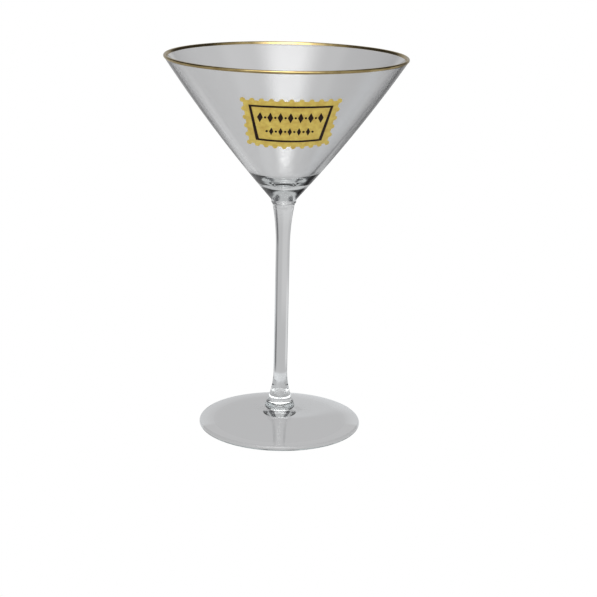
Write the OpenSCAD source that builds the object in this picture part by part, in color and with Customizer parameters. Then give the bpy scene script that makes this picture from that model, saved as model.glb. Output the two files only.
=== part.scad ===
// Martini glass: a blown conical bowl with a heavy solid base, a drawn stem and
// a spun foot, joined hot end to end. A fired gold band covers the lip, and a
// gold label with a dark frame and a dark ornament is fired on the front.
// The glass stands on z = 0, centred on the Z axis, with its label facing -Y.

/* [Overall] */
// Height from the table to the top of the rim
glass_h = 185; // [165:1:225]
// Diameter over the rim
rim_d = 116.5; // [96:0.5:140]
// Diameter of the foot
foot_d = 80.5; // [66:0.5:98]

/* [Bowl] */
// Height of the bowl, from its joint with the stem to the rim
bowl_h = 71.5; // [58:0.5:88]
// How far the wall bows out from a straight cone
wall_bow = 1.4; // [0.8:0.1:2.4]
// Thickness of the glass at the lip
lip_t = 1.3; // [1:0.1:2]
// Thickness of the wall where it meets the rounded inside bottom
wall_base_t = 3; // [2:0.1:4]
// Depth of solid glass under the inside bottom
base_t = 10.6; // [9:0.2:15]
// Diameter of the bowl's solid end
knuckle_d = 12; // [11.5:0.1:14.5]
// Height of the straight stretch of that end
knuckle_h = 0.9; // [0.9:0.1:2]
// Radius of the hollow sweep from that end into the wall
knuckle_sweep_r = 2.5; // [2:0.5:8]
// Radius of the rounded edge round the joint
knuckle_round_r = 0.6; // [0.3:0.1:0.8]

/* [Stem] */
// Diameter along the middle of the stem
stem_d = 6.8; // [5.6:0.1:8.4]
// Diameter of the top end, under the bowl
stem_top_d = 10.8; // [9.5:0.1:11.4]
// Length of the flare at the top end
stem_top_flare_h = 22; // [16:0.5:28]
// Radius of the rounded edge at the top end
stem_top_round_r = 0.4; // [0.2:0.1:0.8]
// Diameter of the rounded knob at the bottom end
stem_knob_d = 14.8; // [12:0.1:17]
// Length of the flare down to the foot
stem_knob_flare_h = 20; // [15:0.5:26]
// Radius of the knob's rounded edge
stem_knob_round_r = 2; // [1:0.1:2.4]

/* [Foot] */
// Height of the foot at its centre, where the stem stands
foot_h = 7.8; // [6.6:0.1:10]
// Thickness of the foot's rounded outer edge
foot_edge_t = 2.6; // [2:0.1:3.6]
// Diameter of the flat seat in the middle of the foot
foot_seat_d = 11; // [10.4:0.1:13]
// How far the foot's slope sags below a straight line from edge to seat
foot_sag = 0.6; // [0.3:0.1:1]
// Width of the flat ring that the foot rests on
rest_ring_w = 6; // [4:0.5:10]
// Rise of the hollow under the foot
kick_h = 4; // [1.5:0.1:4.2]

/* [Gold band] */
// Depth of the band below the top of the rim
band_h = 1.3; // [1.2:0.1:4]
// Thickness of the gold
gold_t = 0.1; // [0.08:0.01:0.2]

/* [Label] */
// Distance from the rim down to the label's level top edge
label_drop = 14.9; // [10:0.1:18]
// Height of the label at its middle, without its teeth
label_h = 23.4; // [22:0.1:26]
// Width of the top edge, as seen from the front
label_top_w = 43.8; // [41:0.1:50]
// Width of the bottom edge, as seen from the front
label_bottom_w = 35.8; // [34:0.1:40]
// How far the bottom edge bows down at its middle
label_bow = 1.4; // [0.6:0.1:2]
// Diameter of the round teeth along the edges
tooth_d = 2.4; // [1.6:0.1:2.8]
// Teeth along the top edge, with both corners
top_teeth = 11; // [7:1:13]
// Teeth along the bottom edge, with both corners
bottom_teeth = 10; // [6:1:12]
// Teeth down each side, with both corners
side_teeth = 6; // [4:1:7]
// Thickness of each printed layer
print_t = 0.1; // [0.08:0.01:0.2]

/* [Label frame] */
// Margin of gold above the frame
frame_top_margin = 2.3; // [1.6:0.1:2.8]
// Margin of gold below the frame at its middle
frame_bottom_margin = 2.5; // [1.8:0.1:3]
// Width over the frame's top edge
frame_top_w = 38.4; // [35:0.1:39]
// Width over the frame's bottom edge
frame_bottom_w = 30.2; // [28:0.1:31]
// How far the frame's bottom line bows down at its middle
frame_bow = 0.5; // [0.3:0.1:1]
// Width of the frame's top and bottom lines
frame_line_w = 0.9; // [0.5:0.1:1.1]
// Width of the frame's side lines
frame_side_w = 1.3; // [0.7:0.1:1.5]

/* [Label ornament] */
// Distance from the frame's top edge down to the middle of the upper row
upper_row_drop = 6; // [5.4:0.1:6.6]
// Distance between the middles of the two rows
row_gap = 7.1; // [6.6:0.1:7.8]
// Height of a lozenge in the upper row
upper_lozenge_h = 5.2; // [3.6:0.1:5.4]
// Height of a lozenge in the lower row
lower_lozenge_h = 4; // [3:0.1:4.4]
// Width of a lozenge as a share of its height
lozenge_share = 0.5; // [0.35:0.05:0.6]
// Distance between lozenges in the upper row
upper_pitch = 4.6; // [4.4:0.1:4.8]
// Distance between lozenges in the lower row
lower_pitch = 4.2; // [4:0.1:4.4]
// Diameter of the dots beside the lozenges
dot_d = 1.1; // [0.7:0.1:1.2]

/* [Hidden] */

$fn = 180;
// The wall's arc is a small part of a very large circle, so that circle has more steps.
WALL_FN = 2400;
// Lozenges in each row, one of them in the middle
UPPER_LOZENGES = 7;
LOWER_LOZENGES = 5;

GLASS = [0.80, 0.84, 0.86, 0.45];
RIM_GOLD = [0.83, 0.68, 0.34];
LABEL_GOLD = [0.82, 0.70, 0.30];
LABEL_DARK = [0.16, 0.07, 0.03];

// Radius of the arc over a chord that it bows away from by bow
function arc_radius(chord, bow) = (chord * chord / 4 + bow * bow) / (2 * bow);

// The point at ra from a and rb from b, to the left of the way from a to b
function meeting_point(a, ra, b, rb) =
    let (gap = norm(b - a),
         way = (b - a) / gap,
         along = (ra * ra - rb * rb + gap * gap) / (2 * gap),
         aside = sqrt(ra * ra - along * along))
    a + along * way + aside * [-way[1], way[0]];

// The point reach away from a, towards b
function toward(a, b, reach) = a + (b - a) * reach / norm(b - a);

// Where the line from a through b reaches the axis
function on_axis(a, b) = a + (b - a) * a[0] / (a[0] - b[0]);

// The bowl's section is drawn in the plane of radius and height.
seam_z = glass_h - bowl_h;
lip_r = lip_t / 2;
lip_c = [rim_d / 2 - gold_t - lip_r, glass_h - gold_t - lip_r];
knuckle_r = knuckle_d / 2;
sweep_c = [knuckle_r + knuckle_sweep_r, seam_z + knuckle_h];

// The outside of the wall is one arc. It touches the round of the lip and the sweep.
wall_r = arc_radius(norm(lip_c - sweep_c), wall_bow);
wall_c = meeting_point(sweep_c, wall_r + knuckle_sweep_r, lip_c, wall_r - lip_r);
sweep_end = toward(wall_c, sweep_c, wall_r);

// The rounded inside bottom is base_t above the joint and wall_base_t inside the outer arc.
well_z = seam_z + base_t;
well_reach = wall_r - wall_base_t;
well_rise = well_z - wall_c[1];
well_r = (well_reach ^ 2 - wall_c[0] ^ 2 - well_rise ^ 2) / (2 * (well_reach + well_rise));
well_c = [0, well_z + well_r];

// The inside of the wall is an arc as round as the outside. It touches the inside bottom and the lip.
inner_c = meeting_point(well_c, wall_r - well_r, lip_c, wall_r + lip_r);

// Radius at height z of a surface whose section is an arc as round as the wall, about centre
function arc_radius_at(centre, z) = centre[0] + sqrt(wall_r ^ 2 - (z - centre[1]) ^ 2);

label_top_z = glass_h - label_drop;
label_bottom_z = label_top_z - label_h;
frame_top_z = label_top_z - frame_top_margin;
frame_bottom_z = label_bottom_z + frame_bottom_margin;
frame_h = frame_top_z - frame_bottom_z;
upper_row_z = frame_top_z - upper_row_drop;
lower_row_z = upper_row_z - row_gap;

// A ring of thickness t outside radius r, in the plane of the section
module ring(centre, r, t, steps = $fn) {
    translate(centre) difference() {
        circle(r + t, $fn = steps);
        circle(r, $fn = steps);
    }
}

// The wall's section from the sweep to the lip, with its surfaces moved out into the air by grow
module wall_section(grow = 0) {
    lip_side = toward(wall_c, lip_c, wall_r + knuckle_sweep_r);
    difference() {
        intersection() {
            translate(wall_c) circle(wall_r + grow, $fn = WALL_FN);
            polygon([[0, sweep_end[1]], sweep_end, sweep_c, lip_side, lip_c, on_axis(lip_c, inner_c)]);
        }
        intersection() {
            translate(inner_c) circle(wall_r - grow, $fn = WALL_FN);
            polygon([well_c, toward(inner_c, well_c, wall_r + lip_t),
                     [rim_d, well_z], [rim_d, 2 * glass_h], [0, 2 * glass_h]]);
        }
        translate(well_c) circle(well_r - grow);
    }
    translate(lip_c) circle(lip_r + grow);
}

// The bowl's solid end, from the joint up into the wall
module knuckle_section() {
    difference() {
        polygon([[0, sweep_c[1]], sweep_c, sweep_end, [0, sweep_end[1]]]);
        translate(sweep_c) circle(knuckle_sweep_r);
    }
    translate([0, seam_z + knuckle_round_r]) square([knuckle_r, knuckle_h - knuckle_round_r]);
    translate([0, seam_z]) round_cornered(knuckle_r, knuckle_round_r);
}

// A slab from the axis out to reach, with its lower outer corner rounded
module round_cornered(reach, corner_r) {
    square([reach - corner_r, corner_r]);
    intersection() {
        square([reach, corner_r]);
        translate([reach - corner_r, corner_r]) circle(corner_r);
    }
}

module bowl() {
    color(GLASS) rotate_extrude() {
        wall_section();
        knuckle_section();
    }
}

// One end of the stem's section, with its flat face at height 0 and the shaft
// above it. The sweep leaves the shaft at flare_h and runs into the rounded edge.
module stem_end_section(end_d, flare_h, round_r) {
    edge_c = [end_d / 2 - round_r, round_r];
    inset = edge_c[0] - stem_d / 2;
    rise = flare_h - round_r;
    flare_r = (inset ^ 2 + rise ^ 2 - round_r ^ 2) / (2 * (inset + round_r));
    flare_c = [stem_d / 2 + flare_r, flare_h];
    round_cornered(end_d / 2, round_r);
    difference() {
        union() {
            polygon([[0, round_r], edge_c, flare_c, [0, flare_h]]);
            translate(edge_c) circle(round_r);
        }
        translate(flare_c) circle(flare_r, $fn = 4 * $fn);
    }
}

module stem() {
    color(GLASS) rotate_extrude() {
        translate([0, foot_h]) stem_end_section(stem_knob_d, stem_knob_flare_h, stem_knob_round_r);
        translate([0, foot_h + stem_knob_flare_h])
            square([stem_d / 2, seam_z - foot_h - stem_knob_flare_h - stem_top_flare_h]);
        translate([0, seam_z]) mirror([0, 1])
            stem_end_section(stem_top_d, stem_top_flare_h, stem_top_round_r);
    }
}

// The hollow under the foot runs level with the slope above it, up to a flat middle,
// so the foot is of nearly one thickness from the ring it rests on to the seat.
module foot() {
    edge_c = [(foot_d - foot_edge_t) / 2, foot_edge_t / 2];
    edge_top = [edge_c[0], foot_edge_t];
    seat_edge = [foot_seat_d / 2, foot_h];
    slope_r = arc_radius(norm(edge_top - seat_edge), foot_sag);
    slope_c = meeting_point(seat_edge, slope_r, edge_top, slope_r);
    kick_r = edge_c[0] - rest_ring_w;
    color(GLASS) rotate_extrude() difference() {
        union() {
            square(edge_top);
            translate(edge_c) circle(foot_edge_t / 2);
            difference() {
                square([edge_c[0], foot_h]);
                translate(slope_c) circle(slope_r, $fn = WALL_FN);
            }
        }
        difference() {
            square([kick_r, kick_h]);
            translate(slope_c) circle(norm([kick_r, 0] - slope_c), $fn = WALL_FN);
        }
    }
}

// The gold covers the lip and a little of both faces of the wall. Its two edges
// are square to the glass.
module rim_band() {
    band_z = glass_h - band_h;
    outer_edge = [arc_radius_at(wall_c, band_z), band_z];
    inner_edge = [arc_radius_at(inner_c, band_z), band_z];
    inner_out = toward(inner_c, inner_edge, wall_r - lip_t);
    color(RIM_GOLD) rotate_extrude() difference() {
        intersection() {
            wall_section(gold_t);
            polygon([toward(wall_c, outer_edge, wall_r - lip_t / 4), toward(wall_c, outer_edge, wall_r + lip_t),
                     [rim_d, glass_h + lip_t], [inner_out[0], glass_h + lip_t],
                     inner_out, toward(inner_c, inner_edge, wall_r + lip_t / 4)]);
        }
        wall_section();
    }
}

// What its children cut out of one printed layer: layer 0 is on the glass, and 1 is on top of it
module printed(level) {
    intersection() {
        rotate_extrude() intersection() {
            ring(wall_c, wall_r + level * print_t, print_t, WALL_FN);
            translate([0, label_bottom_z - tooth_d]) square([rim_d, label_h + 2 * tooth_d]);
        }
        union() children();
    }
}

// A flat outline, drawn as seen from the front, carried back to the axis
module from_front() {
    translate([0, -rim_d / 2, 0]) rotate([-90, 0, 0]) mirror([0, 1, 0]) linear_extrude(rim_d / 2) children();
}

// A four-sided outline with a level top edge and sides that draw in. Its bottom
// edge is an arc, bow lower at its middle than at its corners.
module tapered_outline(top_z, h, top_w, bottom_w, bow) {
    bottom_r = arc_radius(bottom_w, bow);
    slant = (top_w - bottom_w) / 2 / (h - bow);
    intersection() {
        polygon([[-top_w / 2, top_z], [top_w / 2, top_z],
                 [bottom_w / 2 - slant * bow, top_z - h], [slant * bow - bottom_w / 2, top_z - h]]);
        translate([0, top_z - h + bottom_r]) circle(bottom_r, $fn = WALL_FN);
    }
}

// Teeth are even along the glass, so the ones at the sides look closer together from the front.
module tooth_row(count, half_w, z_at) {
    half_turn = asin(half_w / arc_radius_at(wall_c, z_at[1]));
    for (i = [0 : count - 1]) {
        share = 2 * i / (count - 1) - 1;
        x = half_w * sin(half_turn * share) / sin(half_turn);
        translate([x, z_at[0] + (z_at[1] - z_at[0]) * share ^ 2]) circle(d = tooth_d, $fn = 36);
    }
}

module label_ground() {
    corner_z = label_bottom_z + label_bow;
    color(LABEL_GOLD) printed(0) {
        from_front() tapered_outline(label_top_z, label_h, label_top_w, label_bottom_w, label_bow);
        from_front() tooth_row(top_teeth, label_top_w / 2, [label_top_z, label_top_z]);
        from_front() tooth_row(bottom_teeth, label_bottom_w / 2, [label_bottom_z, corner_z]);
        from_front() for (side = [-1, 1]) for (i = [1 : side_teeth - 2]) {
            share = i / (side_teeth - 1);
            translate([side * (label_top_w + (label_bottom_w - label_top_w) * share) / 2,
                       label_top_z + (corner_z - label_top_z) * share]) circle(d = tooth_d, $fn = 36);
        }
    }
}

module label_frame() {
    color(LABEL_DARK) printed(1) from_front() difference() {
        tapered_outline(frame_top_z, frame_h, frame_top_w, frame_bottom_w, frame_bow);
        tapered_outline(frame_top_z - frame_line_w, frame_h - 2 * frame_line_w,
                        frame_top_w - 2 * frame_side_w, frame_bottom_w - 2 * frame_side_w, frame_bow);
    }
}

// A row of lozenges with a dot in each gap and, if end_dots, one past each end
module ornament_row(z, count, pitch, lozenge_h, end_dots) {
    half_h = lozenge_h / 2;
    half_w = half_h * lozenge_share;
    for (i = [0 : count - 1]) translate([(i - (count - 1) / 2) * pitch, z])
        polygon([[half_w, 0], [0, half_h], [-half_w, 0], [0, -half_h]]);
    dots = end_dots ? count + 1 : count - 1;
    for (i = [0 : dots - 1]) translate([(i - (dots - 1) / 2) * pitch, z]) circle(d = dot_d, $fn = 36);
}

module label_ornament() {
    color(LABEL_DARK) printed(1) from_front() {
        ornament_row(upper_row_z, UPPER_LOZENGES, upper_pitch, upper_lozenge_h, false);
        ornament_row(lower_row_z, LOWER_LOZENGES, lower_pitch, lower_lozenge_h, true);
    }
}

bowl();
stem();
foot();
rim_band();
label_ground();
label_frame();
label_ornament();
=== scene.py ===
# %% [markdown]
# # A martini glass with a gold rim and a fired label
# The glass is three gathers of clear glass joined hot: a blown bowl, a drawn stem
# and a spun foot. The lip is painted with liquid gold, and a small label is printed
# on the bowl in gold and dark enamel. Everything here is set out from the packed
# model, which gives the size and place of each piece in metres.

# %% The frame
from math import cos, pi, radians, sin
import bpy
import numpy as np
from mathutils import Matrix, Vector


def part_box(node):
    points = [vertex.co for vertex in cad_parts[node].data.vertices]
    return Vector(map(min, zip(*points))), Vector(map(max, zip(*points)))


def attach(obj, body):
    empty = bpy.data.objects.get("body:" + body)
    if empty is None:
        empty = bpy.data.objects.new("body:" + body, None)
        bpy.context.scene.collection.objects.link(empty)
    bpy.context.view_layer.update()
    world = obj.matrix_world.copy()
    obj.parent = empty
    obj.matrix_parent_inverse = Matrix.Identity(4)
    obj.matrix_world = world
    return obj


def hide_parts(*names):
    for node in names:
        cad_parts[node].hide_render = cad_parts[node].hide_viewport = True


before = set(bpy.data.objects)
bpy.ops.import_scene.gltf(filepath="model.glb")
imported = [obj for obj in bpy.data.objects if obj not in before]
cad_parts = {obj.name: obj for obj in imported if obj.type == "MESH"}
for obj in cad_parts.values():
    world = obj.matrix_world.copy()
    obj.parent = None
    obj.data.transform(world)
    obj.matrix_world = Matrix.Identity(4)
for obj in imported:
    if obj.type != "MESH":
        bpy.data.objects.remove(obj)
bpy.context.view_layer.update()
MM = 0.001
bowl_low, bowl_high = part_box("bowl")
stem_high, foot_high, band_high = (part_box(node)[1] for node in ("stem", "foot", "rim_band"))
print("nodes:", sorted(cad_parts))
print("glass is %.1f mm tall" % (band_high.z / MM))

# %% [markdown]
# ## The camera
# A long lens from a little above the rim keeps the bowl's cone and the round foot in
# their true proportions. The camera's place is worked out from its distance, its
# height and three small turns, and its matrix is built from the three directions
# right, up and back, so that nothing has to be aimed by eye.

# %% Camera
LENS_MM, SENSOR_MM = 93.1, 36
camera_distance = 0.7345
camera_height = 0.2728
round_the_glass = radians(3.2)
look_right = radians(0.645)
look_down = radians(15.768)
roll = radians(1.324)

forward = Vector((
    sin(look_right) * cos(look_down), cos(look_right) * cos(look_down), -sin(look_down)))
level = Vector((cos(look_right), -sin(look_right), 0))
above = level.cross(forward)
right = cos(roll) * level + sin(roll) * above
up = cos(roll) * above - sin(roll) * level
camera_turn = Matrix.Rotation(-round_the_glass, 4, "Z")
axes = Matrix((right, up, -forward)).transposed().to_4x4()
camera_data = bpy.data.cameras.new("camera")
camera_data.lens = LENS_MM
camera_data.sensor_width = SENSOR_MM
camera = bpy.data.objects.new("camera", camera_data)
camera.matrix_world = camera_turn @ Matrix.Translation((0, -camera_distance, camera_height)) @ axes
bpy.context.scene.collection.objects.link(camera)
bpy.context.scene.camera = camera
bpy.context.scene.view_settings.view_transform = "Standard"
print("camera at", [round(x, 3) for x in camera.matrix_world.translation])

# %% [markdown]
# ## Helpers for materials
# A colour is written as a designer writes it, in sRGB hex, and one function turns it
# to the linear values that a shader works in. One more function adds a node, sets
# its values and makes its links, so that each material below reads as a short list.

# %% Colour and node helpers
def colour(text, alpha=1.0):
    """Linear RGBA of an sRGB hex colour: each channel's curve is undone."""
    srgb = np.array([int(text[i:i + 2], 16) for i in (1, 3, 5)]) / 255
    linear = np.where(srgb <= 0.04045, srgb / 12.92, ((srgb + 0.055) / 1.055) ** 2.4)
    return (*linear.tolist(), alpha)


def add(tree, kind, inputs=None, **settings):
    """Adds a node. An input that is a socket is linked, and any other is set."""
    node = tree.nodes.new(kind)
    for name, value in settings.items():
        setattr(node, name, value)
    for name, value in (inputs or {}).items():
        if isinstance(value, bpy.types.NodeSocket):
            tree.links.new(value, node.inputs[name])
        else:
            node.inputs[name].default_value = value
    return node


def new_material(name):
    """An empty material, with its node tree and its output."""
    material = bpy.data.materials.new(name)
    material.use_nodes = True
    material.node_tree.nodes.clear()
    output = material.node_tree.nodes.new("ShaderNodeOutputMaterial")
    return material, material.node_tree, output


# %% [markdown]
# ## Light
# Clear glass has no look of its own: it shows the room, bent and mirrored. A plain
# white room would leave it without edges, so the world is two things. To the camera
# it is white. To every ray that has passed through the glass or been mirrored by it,
# it is a studio: a mid-grey sweep, a few soft boxes, and black cards between them
# that draw the glass's edges. Each box or card is a soft-edged window in azimuth and
# elevation, worked out from the direction of the ray.

# %% Studio world
SWEEP_GREY = "#B9B9BA"
# azimuth and elevation of the middle, half width and half height, soft edge, all in
# degrees, then the colour and the strength. A negative strength is a black card.
BOXES = [
    (187, 58, 12, 10, 46, "#FFFFFF", 3.6),
    (60, 36, 28, 22, 12, "#FFFFFF", -0.44),
    (-60, 36, 28, 22, 12, "#FFFFFF", -0.44),
    (42, -26, 6, 24, 7, "#FFFFFF", -0.22),
    (42, -4, 6, 8, 7, "#FFFFFF", -0.14),
    (42, -46, 6, 9, 7, "#FFFFFF", -0.12),
    (-42, -38, 9, 10, 9, "#FFFFFF", 0.18),
    (70, -40, 8, 10, 10, "#E6F4FF", 0.30),
    (-12, -16, 10, 8, 14, "#FFFFFF", 0.08),
    (0, -66, 100, 5, 5, "#F2FAFF", 0.16),
    (40, -74, 20, 4, 22, "#F2FAFF", 0.10),
]


def studio_light(tree, direction):
    """Brightness by direction: the sweep's grey, and each box added or taken away."""
    split = add(tree, "ShaderNodeSeparateXYZ", {0: direction}).outputs
    azimuth = add(
        tree, "ShaderNodeMath", {0: split["X"], 1: split["Y"]}, operation="ARCTAN2").outputs[0]
    elevation = add(tree, "ShaderNodeMath", {0: split["Z"]}, operation="ARCSINE").outputs[0]
    total = add(tree, "ShaderNodeRGB").outputs[0]
    total.default_value = colour(SWEEP_GREY)
    for turn, tilt, half_turn, half_tilt, soft, tone, strength in BOXES:
        window = None
        for angle, middle, half in ((azimuth, turn, half_turn), (elevation, tilt, half_tilt)):
            off = add(
                tree, "ShaderNodeMath", {0: angle, 1: radians(middle)}, operation="SUBTRACT")
            off = add(tree, "ShaderNodeMath", {0: off.outputs[0], 1: pi, 2: -pi}, operation="WRAP")
            off = add(tree, "ShaderNodeMath", {0: off.outputs[0]}, operation="ABSOLUTE")
            edge = add(tree, "ShaderNodeMapRange", {
                "Value": off.outputs[0], "From Min": radians(half + soft),
                "From Max": radians(half)}, interpolation_type="SMOOTHSTEP").outputs["Result"]
            window = edge if window is None else add(
                tree, "ShaderNodeMath", {0: window, 1: edge}, operation="MULTIPLY").outputs[0]
        amount = add(tree, "ShaderNodeMath", {0: window, 1: strength}, operation="MULTIPLY")
        lit = add(tree, "ShaderNodeVectorMath", {
            0: colour(tone)[:3], "Scale": amount.outputs[0]}, operation="SCALE").outputs[0]
        total = add(tree, "ShaderNodeVectorMath", {0: total, 1: lit}, operation="ADD").outputs[0]
    return total


def white_to_the_camera(tree, light):
    """The light for rays that come from the glass, and plain white for the camera's own."""
    seen = add(tree, "ShaderNodeLightPath").outputs["Is Camera Ray"]
    either = add(tree, "ShaderNodeMix", {
        "Factor": seen, 6: light, 7: colour("#FFFFFF")}, data_type="RGBA")
    return either.outputs[2]


world = bpy.data.worlds.new("studio")
world.use_nodes = True
world.node_tree.nodes.clear()
outward = add(world.node_tree, "ShaderNodeTexCoord").outputs["Generated"]
background = add(world.node_tree, "ShaderNodeBackground", {
    "Color": white_to_the_camera(world.node_tree, studio_light(world.node_tree, outward))})
add(world.node_tree, "ShaderNodeOutputWorld", {"Surface": background.outputs[0]})
bpy.context.scene.world = world
print("studio boxes:", len(BOXES))

# %% [markdown]
# ## Floor
# The floor is pale and glows, and no lamp lights it. To the camera it is as white as the
# wall behind it, so no horizon shows. Most rays through the glass end on it, so the
# light of the soft boxes and the shade of the black cards are painted into its glow:
# each point of the floor has the painted light of its direction from the middle of the glass.

# %% Floor
FLOOR_REACH = 4.0
MIDDLE_HEIGHT = 0.12
floor_mesh = bpy.data.meshes.new("floor")
corners = [(-1, -1), (1, -1), (1, 1), (-1, 1)]
floor_mesh.from_pydata(
    [(x * FLOOR_REACH, y * FLOOR_REACH, 0) for x, y in corners], [], [(0, 1, 2, 3)])
floor = bpy.data.objects.new("floor", floor_mesh)
bpy.context.scene.collection.objects.link(floor)
floor_painted_light, tree, output = new_material("pale floor with painted studio light")
place = add(tree, "ShaderNodeTexCoord").outputs["Object"]
from_middle = add(
    tree, "ShaderNodeVectorMath", {0: place, 1: (0, 0, MIDDLE_HEIGHT)}, operation="SUBTRACT")
direction = add(
    tree, "ShaderNodeVectorMath", {0: from_middle.outputs[0]}, operation="NORMALIZE").outputs[0]
# The floor's emission is painted light: box light and card shade by direction, plain white to the
# camera.
glow = add(tree, "ShaderNodeEmission", {
    "Color": white_to_the_camera(tree, studio_light(tree, direction))})
tree.links.new(glow.outputs[0], output.inputs["Surface"])
floor_mesh.materials.append(floor_painted_light)

# %% [markdown]
# ## Light on the prints
# The fired prints are matt, so they need light of their own. A soft key comes from
# the front, a little below level because the wall faces down. It lights matt
# surfaces only: it isn't mirrored in the glass or seen through it.

# %% Key light
KEY_STRENGTH, KEY_SOFTNESS, KEY_TILT, KEY_TURN = 1.9, radians(30), radians(100), radians(-12)
key_light = bpy.data.lights.new("key", "SUN")
key_light.energy = KEY_STRENGTH
key_light.angle = KEY_SOFTNESS
key = bpy.data.objects.new("key", key_light)
key.rotation_euler = (KEY_TILT, 0, KEY_TURN)
key.visible_glossy = False
key.visible_transmission = False
bpy.context.scene.collection.objects.link(key)
print("key light:", KEY_STRENGTH)

# %% [markdown]
# ## Clear glass
# Bowl, stem and foot are soda-lime glass, worked hot and fire polished. It is made
# clear by full transmission with glass's own IOR of 1.52 and no roughness. The slow
# waviness of hand-worked glass comes from a bump about two centimetres from wave to
# wave, and the faint green of thick glass from absorption inside it.

# %% Glass material
GLASS_IOR = 1.52
WAVE_PITCH = 22 * MM
WAVE_DEPTH = 0.02 * MM
TINT_PER_METRE = 10.0
glass, tree, output = new_material("blown soda-lime glass")
place = add(tree, "ShaderNodeTexCoord").outputs["Object"]
waves = add(tree, "ShaderNodeTexNoise", {"Vector": place, "Scale": 1 / WAVE_PITCH, "Detail": 1.0})
ripple = add(tree, "ShaderNodeBump", {
    "Height": waves.outputs["Fac"], "Distance": WAVE_DEPTH, "Strength": 1.0})
clear = add(tree, "ShaderNodeBsdfPrincipled", {
    "Base Color": (1, 1, 1, 1), "Roughness": 0.0, "IOR": GLASS_IOR, "Transmission Weight": 1.0,
    "Normal": ripple.outputs["Normal"]})
body = add(tree, "ShaderNodeVolumeAbsorption", {
    "Color": colour("#DCEAE9"), "Density": TINT_PER_METRE})
tree.links.new(clear.outputs[0], output.inputs["Surface"])
tree.links.new(body.outputs[0], output.inputs["Volume"])

# %% [markdown]
# ## Skins on a grid
# Every piece here is a grid of points, or several, whose columns close into a ring.
# A spun solid starts and ends in a pole, and a band closes its rows into a loop too.
# One function lays any such grids out as a mesh: quads between neighbouring rows,
# and triangles round a pole. The volume that the faces enclose says whether they
# point outward, and they are turned if they don't.

# %% Skin
HARD_EDGE_DEGREES = 40


def skin(name, grids, material, loop=False):
    """A closed piece from grids of rows x columns x 3. Its volume is a sixth of the sum of
    a.(b x c) over its triangles."""
    points, quads, triangles, start = [], [], [], 0
    for grid in grids:
        rows, columns = grid.shape[:2]
        index = start + np.arange(rows * columns).reshape(rows, columns)
        vertices = grid.reshape(-1, 3)
        if not loop:
            vertices = np.concatenate([grid[0, :1], grid[1:-1].reshape(-1, 3), grid[-1, :1]])
            index = np.maximum(index - columns + 1, start)
            index[-1] = start + len(vertices) - 1
        below, above = (index, np.roll(index, -1, 0)) if loop else (index[:-1], index[1:])
        cells = np.stack([below, np.roll(below, -1, 1), np.roll(above, -1, 1), above], -1)
        if not loop:
            triangles += [cells[0][:, [0, 2, 3]], cells[-1][:, :3]]
            cells = cells[1:-1]
        points.append(vertices)
        quads.append(cells.reshape(-1, 4))
        start += len(vertices)
    points, quads = np.concatenate(points), np.concatenate(quads)
    triangles = np.concatenate(triangles) if triangles else np.zeros((0, 3), int)
    halves = np.concatenate([quads[:, :3], quads[:, [0, 2, 3]], triangles])
    a, b, c = (points[halves[:, k]] for k in range(3))
    volume = np.einsum("ij,ij->", a, np.cross(b, c)) / 6
    if volume < 0:
        quads, triangles = quads[:, ::-1], triangles[:, ::-1]
    mesh = bpy.data.meshes.new(name)
    mesh.from_pydata(points.tolist(), [], quads.tolist() + triangles.tolist())
    mesh.shade_smooth()
    mesh.set_sharp_from_angle(angle=radians(HARD_EDGE_DEGREES))
    mesh.materials.append(material)
    piece = bpy.data.objects.new(name, mesh)
    bpy.context.scene.collection.objects.link(piece)
    print("%s: %d faces, %.3f cm3" % (name, len(mesh.polygons), abs(volume) * 1e6))
    return piece


# %% [markdown]
# ## Turning a section
# Glass that is spun or blown is round about its axis, so each glass piece is one
# section carried round. The section is made of true arcs that touch each other, as
# points in radius and height.

# %% Lathe
STEPS_ROUND = 288


def arc(centre, radius, start, end, count):
    """Points on a circle: the angle goes evenly from start to end, in radians."""
    angle = np.linspace(start, end, count)
    return np.stack([centre[0] + radius * np.cos(angle), centre[1] + radius * np.sin(angle)], 1)


def angle_to(centre, point):
    """Direction from centre to point, as an angle in the plane of the section."""
    return float(np.arctan2(point[1] - centre[1], point[0] - centre[0]))


def lathe(name, section, material, loop=False):
    """Each section point goes round the axis: x = r cos a, y = r sin a, z = height."""
    turn = np.arange(STEPS_ROUND) * 2 * pi / STEPS_ROUND
    radius, height = section[:, :1], section[:, 1:]
    ring = np.stack([radius * np.cos(turn), radius * np.sin(turn), height + 0 * turn], -1)
    return skin(name, [ring], material, loop)


# %% [markdown]
# ## The bowl
# The wall is two large arcs of one radius, a little closer together at the lip than
# at the base. They are found as a draughtsman finds them: each centre lies at known
# distances from two points, where two circles meet. The solid end below the rounded
# inside bottom gathers the light into the bright and dark facets of a real glass.

# %% Sizes of the bowl
glass_h, rim_r, seam_z = band_high.z, band_high.x, bowl_low.z
gold_t = glass_h - bowl_high.z
wall_bow, lip_t, wall_base_t, base_t = 1.4 * MM, 1.3 * MM, 3.0 * MM, 10.6 * MM
knuckle_r, knuckle_h, sweep_r, knuckle_round_r = 6.0 * MM, 0.9 * MM, 2.5 * MM, 0.6 * MM


def meeting_point(a, ra, b, rb):
    """Where circles about a and b meet: along the line between them, then square to it on
    its left."""
    gap = np.linalg.norm(b - a)
    way = (b - a) / gap
    along = (ra ** 2 - rb ** 2 + gap ** 2) / (2 * gap)
    return a + along * way + np.sqrt(ra ** 2 - along ** 2) * np.array([-way[1], way[0]])


def arc_radius(chord, bow):
    """Radius of the arc that stands off its chord by bow."""
    return (chord ** 2 / 4 + bow ** 2) / (2 * bow)


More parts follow.
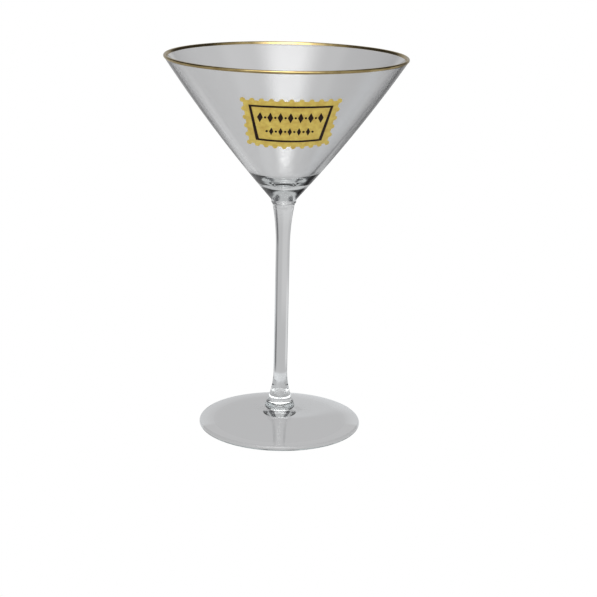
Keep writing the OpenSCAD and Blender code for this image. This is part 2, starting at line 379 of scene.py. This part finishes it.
lip_r = lip_t / 2
lip_c = np.array([rim_r - gold_t - lip_r, glass_h - gold_t - lip_r])
sweep_c = np.array([knuckle_r + sweep_r, seam_z + knuckle_h])
wall_r = arc_radius(np.linalg.norm(lip_c - sweep_c), wall_bow)
wall_c = meeting_point(sweep_c, wall_r + sweep_r, lip_c, wall_r - lip_r)
reach, rise = wall_r - wall_base_t, seam_z + base_t - wall_c[1]
well_r = (reach ** 2 - wall_c[0] ** 2 - rise ** 2) / (2 * (reach + rise))
well_c = np.array([0, seam_z + base_t + well_r])
inner_c = meeting_point(well_c, wall_r - well_r, lip_c, wall_r + lip_r)
out_of_lip, into_lip = angle_to(wall_c, lip_c), angle_to(inner_c, lip_c)
print("wall arc %.1f mm, inside bottom %.1f mm" % (wall_r / MM, well_r / MM))

# %% Bowl
round_c = (knuckle_r - knuckle_round_r, seam_z + knuckle_round_r)
into_well = angle_to(inner_c, well_c)
bowl = lathe("bowl_glass", np.concatenate([
    [[0, seam_z], [round_c[0] / 2, seam_z]],
    arc(round_c, knuckle_round_r, -pi / 2, 0, 9),
    arc(sweep_c, sweep_r, pi, angle_to(sweep_c, wall_c), 25),
    arc(wall_c, wall_r, angle_to(wall_c, sweep_c), out_of_lip, 81)[1:],
    arc(lip_c, lip_r, out_of_lip, into_lip + pi, 25)[1:],
    arc(inner_c, wall_r, into_lip, into_well, 81)[1:],
    arc(well_c, well_r, into_well, -pi / 2, 41)[1:],
]), glass)

# %% [markdown]
# ## The stem
# The stem is drawn out of hot glass, so it thins in a long sweep from each end: a
# slight flare under the bowl and a rounded knob where it is pressed onto the foot.
# Both ends come from one function of their radius, flare and edge. Each end dips a
# hair into its neighbour, so that light crosses the joint as through fused glass.

# %% Stem
JOINT_OVERLAP = 0.05 * MM
stem_r = 3.4 * MM
knob_r, knob_flare_h, knob_round_r = stem_high.x, 20 * MM, 2.0 * MM
neck_r, neck_flare_h, neck_round_r = 5.4 * MM, 22 * MM, 0.4 * MM
foot_h = foot_high.z


def stem_end(end_r, flare_h, round_r):
    """From the middle of the end's face, out round its edge and up the sweep, which touches
    both."""
    edge_c = np.array([end_r - round_r, round_r])
    inset, climb = edge_c[0] - stem_r, flare_h - round_r
    flare_r = (inset ** 2 + climb ** 2 - round_r ** 2) / (2 * (inset + round_r))
    flare_c = np.array([stem_r + flare_r, flare_h])
    return np.concatenate([
        [[0, -JOINT_OVERLAP], [edge_c[0], -JOINT_OVERLAP]],
        arc(edge_c, round_r, -pi / 2, angle_to(edge_c, flare_c), 15),
        arc(flare_c, flare_r, angle_to(flare_c, edge_c), -pi, 61)[1:],
    ])


lower_end = stem_end(knob_r, knob_flare_h, knob_round_r) + [0, foot_h]
upper_end = stem_end(neck_r, neck_flare_h, neck_round_r) * [1, -1] + [0, seam_z]
stem = lathe("stem_glass", np.concatenate([lower_end, upper_end[::-1]]), glass)

# %% [markdown]
# ## The foot
# The foot is a spun disc: a rounded edge and a long slope, a little hollow, up to the
# seat of the stem. Underneath, a hollow runs level with the slope, up to a flat
# middle, so the foot is of one thickness and stands on a ring near its edge.

# %% Foot
foot_edge_t, foot_seat_r, foot_sag = 2.6 * MM, 5.5 * MM, 0.6 * MM
rest_ring_w, kick_h = 6.0 * MM, 4.0 * MM
INSIDE_EDGE = 0.97    # a ring of points just inside each flat's edge keeps the edge crisp
edge_c = np.array([foot_high.x - foot_edge_t / 2, foot_edge_t / 2])
edge_top, seat_edge = np.array([edge_c[0], foot_edge_t]), np.array([foot_seat_r, foot_h])
slope_r = arc_radius(np.linalg.norm(edge_top - seat_edge), foot_sag)
slope_c = meeting_point(seat_edge, slope_r, edge_top, slope_r)
kick_edge = np.array([edge_c[0] - rest_ring_w, 0])
hollow_r = np.linalg.norm(kick_edge - slope_c)
flat_edge_angle = -pi / 2 - np.arccos((slope_c[1] - kick_h) / hollow_r)
hollow = arc(slope_c, hollow_r, flat_edge_angle, angle_to(slope_c, kick_edge), 49)
foot = lathe("foot_glass", np.concatenate([
    [[0, kick_h], [hollow[0, 0] * INSIDE_EDGE, kick_h]], hollow,
    arc(edge_c, foot_edge_t / 2, -pi / 2, pi / 2, 33),
    arc(slope_c, slope_r, angle_to(slope_c, edge_top), angle_to(slope_c, seat_edge), 61)[1:],
    [[foot_seat_r * INSIDE_EDGE, foot_h], [0, foot_h]],
]), glass)
print("hollow's flat middle: %.1f mm across" % (2 * hollow[0, 0] / MM))

# %% [markdown]
# ## Gold on the lip
# Bright gold is a brown liquid, painted on the lip with the glass on a wheel, and
# fired to a film of true metal. It is a mirror, so its colour is the room's, times
# gold: nearly black where it mirrors a dark wall and pale where it mirrors a lamp.
# A slow noise varies the tone and the polish, as the thickness of the brushed coat
# does. The prints below vary in tone in the same way, so one function makes the
# noise from the width of its patches, and the colour that it picks between two.

# %% Gold material
COAT_PATCH = 6 * MM
SMOOTHEST, ROUGHEST = 0.12, 0.30


def patchy(tree, patch, detail, dark_tone, pale_tone):
    """A noise with patches of this width, and a colour that goes with it from dark to pale."""
    place = add(tree, "ShaderNodeTexCoord").outputs["Object"]
    noise = add(tree, "ShaderNodeTexNoise", {
        "Vector": place, "Scale": 1 / patch, "Detail": detail}).outputs["Fac"]
    tone = add(tree, "ShaderNodeMix", {
        "Factor": noise, 6: colour(dark_tone), 7: colour(pale_tone)}, data_type="RGBA")
    return noise, tone.outputs[2]


gold, tree, output = new_material("fired bright gold")
coat, tone = patchy(tree, COAT_PATCH, 3.0, "#8F7847", "#DCC791")
polish = add(tree, "ShaderNodeMapRange", {"Value": coat, "To Min": SMOOTHEST, "To Max": ROUGHEST})
metal = add(tree, "ShaderNodeBsdfPrincipled", {
    "Base Color": tone, "Metallic": 1.0, "Roughness": polish.outputs["Result"]})
tree.links.new(metal.outputs[0], output.inputs["Surface"])

# %% Gold band
INK_SINK = 0.02 * MM
band_h = 1.3 * MM
band_z = glass_h - band_h
outer_start = float(np.arcsin((band_z - wall_c[1]) / wall_r))
inner_end = float(np.arcsin((band_z - inner_c[1]) / wall_r))


def lip_film(stand_off):
    """Up the outside, over the lip and down the inside, stand_off from the glass."""
    return np.concatenate([
        arc(wall_c, wall_r + stand_off, outer_start, out_of_lip, 7),
        arc(lip_c, lip_r + stand_off, out_of_lip, into_lip + pi, 25)[1:],
        arc(inner_c, wall_r - stand_off, into_lip, inner_end, 7)[1:],
    ])


band_section = np.concatenate([lip_film(gold_t), lip_film(-INK_SINK)[::-1]])
rim_band = lathe("rim_gold", band_section, gold, loop=True)

# %% [markdown]
# ## Prints on the wall
# The label is screen printed on a transfer, slid onto the glass and fired. Each
# print is a flat outline, drawn as seen from the front and carried back onto the
# wall: the wall's radius at that height gives y = -sqrt(r^2 - x^2). A print is a
# thin closed plate that starts a hair inside whatever is under it.

# %% Plates on the wall
PRINT_T = 0.1 * MM


def on_wall(flat, lift):
    """Front-view points (x, z) carried onto the wall's arc, moved out by lift."""
    x, z = flat[..., 0], flat[..., 1]
    radius = wall_c[0] + np.sqrt((wall_r + lift) ** 2 - (z - wall_c[1]) ** 2)
    return np.stack([x, -np.sqrt(radius ** 2 - x ** 2), z], -1)


def plate(rows, low, high):
    """A closed plate: the rows of flat outlines on the lower face, then back again on the
    upper one."""
    return np.concatenate([on_wall(rows, low), on_wall(rows[::-1], high)])


def between(start, end, shares):
    """Rows of outlines from start to end, at each share of the way."""
    return start + (end - start) * shares[:, None, None]


# %% [markdown]
# ## Label ground
# The gold ground is a four-sided stamp with a level top, sides that draw in, a
# bottom that bows down and a round tooth at every step of its edge. The teeth come
# from one array of centres in order round the label: each is an arc from the edge
# that arrives to the edge that leaves, which at a corner is more than half a turn.

# %% Label outline
label_drop, label_h, label_bow = 14.9 * MM, 23.4 * MM, 1.4 * MM
top_half, bottom_half, tooth_r = 21.9 * MM, 17.9 * MM, 1.2 * MM
TOP_TEETH, SIDE_TEETH, BOTTOM_TEETH, TOOTH_POINTS = 11, 6, 10, 13
label_top = glass_h - label_drop
label_bottom = label_top - label_h
corner_z = label_bottom + label_bow


def level_row(half, count, middle_z, end_z):
    """Centres even round the glass, so x goes as a sine, and lower at the middle by a
    square law."""
    share = np.linspace(-1, 1, count)
    radius = wall_c[0] + np.sqrt(wall_r ** 2 - (end_z - wall_c[1]) ** 2)
    half_turn = np.arcsin(half / radius)
    x = half * np.sin(half_turn * share) / np.sin(half_turn)
    return np.stack([x, middle_z + (end_z - middle_z) * share ** 2], 1)


def side_row(side):
    """Centres from the top corner to the bottom corner, without the corners."""
    share = np.linspace(0, 1, SIDE_TEETH)[1:-1, None]
    start, end = np.array([side * top_half, label_top]), np.array([side * bottom_half, corner_z])
    return start + (end - start) * share


tooth_c = np.concatenate([
    level_row(top_half, TOP_TEETH, label_top, label_top),
    side_row(1),
    level_row(bottom_half, BOTTOM_TEETH, label_bottom, corner_z)[::-1],
    side_row(-1)[::-1],
])
leaving = np.roll(tooth_c, -1, 0) - tooth_c
leaving /= np.linalg.norm(leaving, axis=1, keepdims=True)
arriving = np.roll(leaving, 1, 0)
start_angle = np.arctan2(-arriving[:, 1], -arriving[:, 0])
turn_in = np.arctan2(arriving[:, 1] * leaving[:, 0] - arriving[:, 0] * leaving[:, 1],
                     (arriving * leaving).sum(1))
step = np.linspace(0, 1, TOOTH_POINTS)
angle = start_angle[:, None] - (pi + turn_in[:, None]) * step
spoke = np.stack([np.cos(angle), np.sin(angle)], -1)
toothed = (tooth_c[:, None] + tooth_r * spoke).reshape(-1, 2)
print("label outline: %d teeth, %d points" % (len(tooth_c), len(toothed)))

# %% [markdown]
# ## Gold enamel
# The label's gold is a metallic enamel: a satin print, only a little metallic, so it
# keeps its colour from every side. The screen lays it a little thick and thin, which
# the eye sees as blotches some millimetres wide.

# %% Label ground material
BLOTCH_PATCH = 2.5 * MM
label_gold, tree, output = new_material("fired gold enamel")
tone = patchy(tree, BLOTCH_PATCH, 4.0, "#C69A34", "#FFEC7C")[1]
enamel = add(tree, "ShaderNodeBsdfPrincipled", {
    "Base Color": tone, "Metallic": 0.1, "Roughness": 0.42})
tree.links.new(enamel.outputs[0], output.inputs["Surface"])

# %% [markdown]
# ## The ground's rows
# The plate is laid in rings, from the label's middle out to its toothed edge. The
# last ring before the teeth is a plain line just inside their centres, with a point
# for each point of the teeth, so the faces between the two stay short.

# %% Label ground
CORNER_TURN = 0.5    # radians: the edge turns far less than this at any tooth but a corner's
CORE_INSET = 0.4 * MM
GROUND_RINGS = 15
is_corner = np.abs(turn_in) > CORNER_TURN
along = tooth_r * np.where(is_corner[:, None], 0, (spoke * leaving[:, None]).sum(-1))
inward = np.stack([leaving[:, 1], -leaving[:, 0]], -1)
inward[is_corner] += np.stack([arriving[:, 1], -arriving[:, 0]], -1)[is_corner]
core = tooth_c[:, None] + along[..., None] * leaving[:, None] + CORE_INSET * inward[:, None]
core = core.reshape(-1, 2)
middle = np.array([0, (label_top + label_bottom) / 2])
rings = between(middle + 0 * core, core, np.linspace(0, 1, GROUND_RINGS))
rows = np.concatenate([rings, toothed[None]])
label_ground = skin("label_gold_ground", [plate(rows, -INK_SINK, PRINT_T)], label_gold)

# %% [markdown]
# ## Dark frame and ornament
# A dark enamel is printed over the gold: a frame that follows the label's shape, and
# two rows of lozenges with dots between them. It is a satin, nearly black brown,
# which shows a little browner where the coat is thin.

# %% Dark enamel
THIN_PATCH = 1.5 * MM
dark, tree, output = new_material("fired dark enamel")
tone = patchy(tree, THIN_PATCH, 2.0, "#100502", "#2E1409")[1]
enamel = add(tree, "ShaderNodeBsdfPrincipled", {
    "Base Color": tone, "Roughness": 0.5, "Specular IOR Level": 0.2})
tree.links.new(enamel.outputs[0], output.inputs["Surface"])

# %% Frame
frame_top_margin, frame_bottom_margin = 2.3 * MM, 2.5 * MM
frame_top, frame_bottom = label_top - frame_top_margin, label_bottom + frame_bottom_margin
frame_top_half, frame_bottom_half, frame_bow = 19.2 * MM, 15.1 * MM, 0.5 * MM
FRAME_LINE, FRAME_SIDE = 0.9 * MM, 1.3 * MM
SIDE_POINTS, LINE_ROWS = 33, 4


def four_sides(top_z, bottom_z, half_top, half_bottom):
    """A four-sided outline, clockwise from its top left corner, its bottom side bowed down."""
    share = np.linspace(0, 1, SIDE_POINTS)[:-1]
    corner = np.array([
        [-half_top, top_z], [half_top, top_z],
        [half_bottom, bottom_z + frame_bow], [-half_bottom, bottom_z + frame_bow]])
    sides = [start + (end - start) * share[:, None]
             for start, end in zip(corner, np.roll(corner, -1, 0))]
    sides[2][:, 1] -= frame_bow * 4 * share * (1 - share)
    return np.concatenate(sides)


outer = four_sides(frame_top, frame_bottom, frame_top_half, frame_bottom_half)
inner = four_sides(frame_top - FRAME_LINE, frame_bottom + FRAME_LINE,
                   frame_top_half - FRAME_SIDE, frame_bottom_half - FRAME_SIDE)
rows = between(outer, inner, np.linspace(0, 1, LINE_ROWS))
frame_plate = plate(rows, PRINT_T - INK_SINK, 2 * PRINT_T)
label_frame = skin("label_dark_frame", [frame_plate], dark, loop=True)

# %% [markdown]
# ## The ornament
# Lozenge and dot are one outline, the superellipse |x/a|^p + |z/b|^p = 1, with p = 1
# for straight sides and p = 2 for a circle. Each row has its lozenges evenly about
# the middle, with dots half-way between them, and the lower one ends in dots too.

# %% Ornament
upper_row_drop, row_gap = 6.0 * MM, 7.1 * MM
upper_z = frame_top - upper_row_drop
lower_z = upper_z - row_gap
LOZENGE_SHARE, DOT_R = 0.5, 0.55 * MM
MARK_POINTS, MARK_RINGS = 48, 6


def mark(x, z, half_w, half_h, power):
    """A plate inside a superellipse, in rings from its middle: each ring is the outline
    made smaller."""
    angle = np.linspace(0, 2 * pi, MARK_POINTS, endpoint=False)
    circle = np.stack([np.cos(angle), np.sin(angle)], 1)
    outline = np.array([half_w, half_h]) * np.sign(circle) * np.abs(circle) ** (2 / power)
    rings = between(0 * outline, outline, np.linspace(0, 1, MARK_RINGS)) + np.array([x, z])
    return plate(rings, PRINT_T - INK_SINK, 2 * PRINT_T)


marks = []
for z, lozenges, pitch, half_h, dots in (
        (upper_z, 7, 4.6 * MM, 2.6 * MM, 6), (lower_z, 5, 4.2 * MM, 2.0 * MM, 6)):
    for count, mark_half_w, mark_half_h, power in (
            (lozenges, half_h * LOZENGE_SHARE, half_h, 1), (dots, DOT_R, DOT_R, 2)):
        for x in (np.arange(count) - (count - 1) / 2) * pitch:
            marks.append(mark(x, z, mark_half_w, mark_half_h, power))
ornament = skin("label_dark_ornament", marks, dark)

# %% [markdown]
# ## Joining the pieces to the frame
# Each visible piece stands for one imported piece and rides on the model's one body.

# %% Bodies
for piece, node_name, slot_name in (
        (bowl, "bowl", "clear_glass"), (stem, "stem", "clear_glass"), (foot, "foot", "clear_glass"),
        (rim_band, "rim_band", "rim_gold"), (label_ground, "label_ground", "label_gold"),
        (label_frame, "label_frame", "label_dark"), (ornament, "label_ornament", "label_dark")):
    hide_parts(node_name)
    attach(piece, "root")

bpy.context.view_layer.update()
